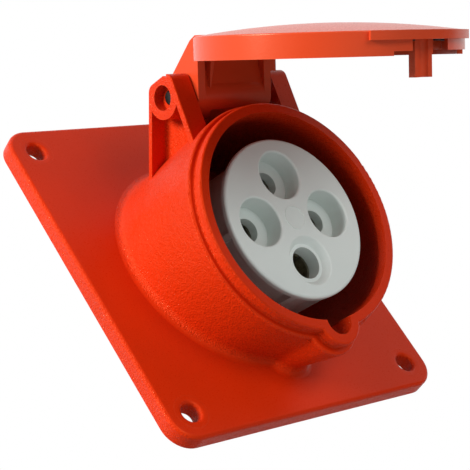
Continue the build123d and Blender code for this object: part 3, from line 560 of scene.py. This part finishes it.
class SOCKET_OT_fixing_rims(bpy.types.Operator):
    """Round the front edges of the four fixing holes"""

    bl_idname = "panel_socket.fixing_rims"
    bl_label = "Rims of the fixing holes"

    def execute(self, context):
        sizes = context.scene.socket_rims
        profile = rim_profile(sizes)
        sides = 48
        mesh = bmesh.new()
        for x in (-sizes.side, sizes.side):
            for z in (-sizes.height, sizes.height):
                loops = []
                for step in range(sides):
                    turn = 2 * pi * step / sides
                    loops.append([
                        mesh.verts.new((x + radius * cos(turn), -front, z + radius * sin(turn)))
                        for radius, front in profile
                    ])
                for here, after in zip(loops, loops[1:] + loops[:1]):
                    for j in range(len(profile)):
                        k = (j + 1) % len(profile)
                        mesh.faces.new((here[j], after[j], after[k], here[k]))
        rims = add_to_housing(context, "fixing_rims", mesh)
        rims.data.shade_smooth()
        rims.data.set_sharp_from_angle(angle=radians(40))
        return {"FINISHED"}


def rim_profile(sizes):
    """Closed section of one rim as (radius, distance from the mounting face), from its foot inside."""
    steps = 6
    turns = [pi / 2 * step / steps for step in range(steps + 1)]
    rounded = [
        (sizes.inner + sizes.edge * (1 - cos(turn)), sizes.face - sizes.edge * (1 - sin(turn)))
        for turn in turns
    ]
    return [
        (sizes.back, sizes.foot), *rounded, (sizes.outer, sizes.face),
        (sizes.outer, sizes.seat), (sizes.bore, sizes.seat), (sizes.bore, sizes.foot),
    ]


class SOCKET_OT_grey_mouldings(bpy.types.Operator):
    """Dress the contact carrier's pieces and the terminal retainer in satin grey plastic"""

    bl_idname = "panel_socket.grey_mouldings"
    bl_label = "Grey mouldings"

    def execute(self, context):
        looks = context.scene.socket_looks
        grain = {
            "cells": 2600.0, "glints": 0.08, "drift_cells": 35.0, "drift": 0.94, "edge": 0.0004,
            "dust": 0.05, "wear": 0.25, "roughness": 0.46, "bump": 0.35,
            "bump_depth": 0.00003, "specular": 0.4, "polish": 0.6, "inside": 1.0,
            "tint": (1.0, 1.0, 1.0, 1.0),
        }
        grey = plastic(
            "Grey moulded plastic", rgba(looks.grey), (0.72, 0.72, 0.7, 1), (0.6, 0.58, 0.55, 1), grain,
            shared_groups(),
        )
        for name in ("contact_carrier", "carrier_core", "carrier_base", "terminal_retainer"):
            dress(nodes[name], grey)
        return {"FINISHED"}


class SOCKET_OT_gaskets(bpy.types.Operator):
    """Dress the flange's and the lid's gaskets in black rubber"""

    bl_idname = "panel_socket.gaskets"
    bl_label = "Gaskets"

    def execute(self, context):
        grain = {
            "cells": 1500.0, "glints": 0.05, "drift_cells": 60.0, "drift": 0.7, "edge": 0.0003,
            "dust": 0.12, "wear": 0.2, "roughness": 0.75, "bump": 0.4,
            "bump_depth": 0.00004, "specular": 0.3, "polish": 0.0, "inside": 1.0,
            "tint": (1.0, 1.0, 1.0, 1.0),
        }
        rubber = plastic(
            "Black rubber", (0.022, 0.022, 0.023, 1), (0.06, 0.06, 0.06, 1), (0.3, 0.28, 0.26, 1), grain,
            shared_groups(),
        )
        for name in ("flange_gasket", "lid_gasket"):
            dress(nodes[name], rubber)
        return {"FINISHED"}


class SOCKET_OT_contacts(bpy.types.Operator):
    """Dress the plug contacts in nickel-plated brass"""

    bl_idname = "panel_socket.contacts"
    bl_label = "Contacts"

    def execute(self, context):
        plated = metal(
            "Nickel-plated brass", (0.62, 0.58, 0.48, 1), (0.45, 0.40, 0.30, 1), 0.34, 3000.0,
            shared_groups(),
        )
        for name in ("l1", "l2", "l3", "earth"):
            dress(nodes[f"contact_{name}"], plated)
        return {"FINISHED"}


class SOCKET_OT_steel(bpy.types.Operator):
    """Dress the screws and spring rings in plated steel and the hinge pin in blackened steel"""

    bl_idname = "panel_socket.steel"
    bl_label = "Steel pieces"

    def execute(self, context):
        steel = metal(
            "Zinc-plated steel", (0.50, 0.50, 0.51, 1), (0.36, 0.35, 0.33, 1), 0.32, 2600.0, shared_groups(),
        )
        for name in sorted(nodes):
            if "screw" in name or name.startswith("contact_spring"):
                dress(nodes[name], steel)
        black = metal(
            "Blackened steel", (0.055, 0.055, 0.05, 1), (0.02, 0.02, 0.02, 1), 0.3, 1800.0, shared_groups(),
        )
        dress(nodes["hinge_pin"], black)
        return {"FINISHED"}


class SOCKET_OT_lid_spring(bpy.types.Operator):
    """Build the wire spring that sits between the socket and the lid"""

    bl_idname = "panel_socket.lid_spring"
    bl_label = "Lid spring"

    def execute(self, context):
        sizes = context.scene.socket_spring
        points = spring_points(sizes)
        curve = bpy.data.curves.new("lid_spring_wire", "CURVE")
        curve.dimensions = "3D"
        curve.bevel_depth = sizes.wire / 2
        curve.bevel_resolution = 3
        curve.use_fill_caps = True
        line = curve.splines.new("POLY")
        line.points.add(len(points) - 1)
        for point, place in zip(line.points, points):
            point.co = (*place, 1)
        temporary = new_object(context, "lid_spring_curve", curve)
        context.view_layer.update()
        mesh = bpy.data.meshes.new_from_object(temporary.evaluated_get(context.evaluated_depsgraph_get()))
        bpy.data.objects.remove(temporary)
        spring = new_object(context, "lid_spring_wire", mesh)
        for face in mesh.polygons:
            face.use_smooth = True
        wire = metal(
            "Spring wire", (0.30, 0.31, 0.29, 1), (0.20, 0.20, 0.18, 1), 0.36, 2400.0, shared_groups(),
        )
        dress(spring, wire)
        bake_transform(spring)
        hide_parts("lid_spring")
        return {"FINISHED"}


def spring_points(sizes):
    """Middle line of the wire in the row frame: foot, leg along the barrel, coil, and end in the knuckle."""
    half = sizes.length / 2
    leg_turn = radians(180)
    eye_turn = radians(26.5)
    leg_run = 0.005
    leg_bend = 0.0012
    foot_up = -0.00755
    eye_reach = 0.0018
    bend_steps = 6
    coil_steps = 26
    leg_up = -sizes.radius
    # Each point is (along the pin, up, out) from the middle of the hinge.
    line = [(-half, foot_up, -leg_run), (-half, leg_up - leg_bend, -leg_run)]
    for step in range(1, bend_steps):
        angle = step / bend_steps * pi / 2
        up = leg_up - leg_bend + leg_bend * sin(angle)
        line.append((-half, up, -leg_run + leg_bend - leg_bend * cos(angle)))
    line.append((-half, leg_up, -leg_run + leg_bend))
    line.append((-half, leg_up, -sizes.wire / 2))
    turns = sizes.full_turns + (leg_turn - eye_turn) / (2 * pi)
    total = int(turns * coil_steps)
    for step in range(total + 1):
        share = step / total
        angle = leg_turn - share * turns * 2 * pi
        line.append((-half + share * sizes.length, sizes.radius * cos(angle), sizes.radius * sin(angle)))
    line.append((half + eye_reach, *line[-1][1:]))
    return [HINGE + Vector((x, 0, 0)) + UP * up + OUT * out for x, up, out in line]


class SOCKET_OT_stage(bpy.types.Operator):
    """Set up the floor, the soft lamps, the pale surroundings and the camera"""

    bl_idname = "panel_socket.stage"
    bl_label = "Stage"

    def execute(self, context):
        scene = context.scene
        settings = scene.socket_stage
        scene.view_settings.view_transform = "Standard"
        make_floor(context)
        make_world(scene, settings.world_level)
        soft_lamp(context, "key_lamp", *KEY_LAMP, settings.key_power)
        soft_lamp(context, "fill_lamp", *FILL_LAMP, settings.fill_power)
        make_camera(context, settings.lens)
        return {"FINISHED"}


def make_floor(context):
    mesh = bpy.data.meshes.new("floor")
    signs = ((-1, -1), (1, -1), (1, 1), (-1, 1))
    corners = [(x * FLOOR_HALF_WIDTH, y * FLOOR_HALF_WIDTH, FLOOR_HEIGHT) for x, y in signs]
    mesh.from_pydata(corners, [], [(0, 1, 2, 3)])
    floor = new_object(context, "floor", mesh)
    material, _, shader = start_material("Pale floor")
    shader.inputs["Base Color"].default_value = (0.74, 0.74, 0.74, 1)
    shader.inputs["Roughness"].default_value = 0.8
    mesh.materials.append(material)


def make_world(scene, level):
    """White where it is seen directly, mirrored or through something, and dimmer as a light."""
    world = bpy.data.worlds.new("Studio")
    scene.world = world
    world.use_nodes = True
    tree = clear_tree(world.node_tree)
    seen = add(tree, "ShaderNodeBackground", {"Color": (1, 1, 1, 1), "Strength": 1.0})
    room = add(tree, "ShaderNodeBackground", {"Color": (1, 1, 1, 1), "Strength": level})
    path = add(tree, "ShaderNodeLightPath")
    visible = math_node(tree, "MAXIMUM", path.outputs["Is Camera Ray"], path.outputs["Is Glossy Ray"])
    visible = math_node(tree, "MAXIMUM", visible, path.outputs["Is Transmission Ray"])
    blend = add(tree, "ShaderNodeMixShader", {0: visible, 1: room.outputs[0], 2: seen.outputs[0]})
    add(tree, "ShaderNodeOutputWorld", {"Surface": blend.outputs[0]})


def soft_lamp(context, name, place, width, power):
    data = bpy.data.lights.new(name, "AREA")
    data.shape = "SQUARE"
    data.size = width
    data.energy = power
    lamp = new_object(context, name, data)
    lamp.location = place
    lamp.rotation_mode = "QUATERNION"
    lamp.rotation_quaternion = (Vector(LAMP_TARGET) - Vector(place)).to_track_quat("-Z", "Y")


def make_camera(context, lens):
    data = bpy.data.cameras.new("camera")
    data.sensor_width = SENSOR_WIDTH_MM
    data.lens = lens
    data.clip_start = 0.01
    data.clip_end = 20.0
    camera = new_object(context, "camera", data)
    camera.location = CAMERA_PLACE
    camera.rotation_euler = [radians(turn) for turn in CAMERA_TURN_DEGREES]
    context.scene.camera = camera


class SOCKET_PT_panel(bpy.types.Panel):
    """Lists the socket's operators and their settings"""

    bl_idname = "SOCKET_PT_panel"
    bl_label = "Panel socket"
    bl_space_type = "VIEW_3D"
    bl_region_type = "UI"
    bl_category = "Panel socket"

    def draw(self, context):
        scene = context.scene
        for holder in SETTINGS:
            settings = getattr(scene, holder)
            for label in settings.__annotations__:
                self.layout.prop(settings, label)
        for operator in OPERATORS:
            self.layout.operator(operator.bl_idname)


OPERATORS = (
    SOCKET_OT_red_mouldings,
    SOCKET_OT_knuckle_wall,
    SOCKET_OT_fixing_rims,
    SOCKET_OT_grey_mouldings,
    SOCKET_OT_gaskets,
    SOCKET_OT_contacts,
    SOCKET_OT_steel,
    SOCKET_OT_lid_spring,
    SOCKET_OT_stage,
)
SETTINGS = {
    "socket_looks": SocketLooks,
    "socket_wall": WallSizes,
    "socket_rims": RimSizes,
    "socket_spring": SpringSizes,
    "socket_stage": StageSettings,
}
CLASSES = (*SETTINGS.values(), *OPERATORS, SOCKET_PT_panel)


def register():
    for cls in CLASSES:
        bpy.utils.register_class(cls)
    for holder, group in SETTINGS.items():
        setattr(bpy.types.Scene, holder, bpy.props.PointerProperty(type=group))


def unregister():
    for holder in reversed(SETTINGS):
        delattr(bpy.types.Scene, holder)
    for cls in reversed(CLASSES):
        bpy.utils.unregister_class(cls)


def main():
    register()
    for operator in OPERATORS:
        group, name = operator.bl_idname.split(".")
        getattr(getattr(bpy.ops, group), name)()


if __name__ == "__main__":
    main()
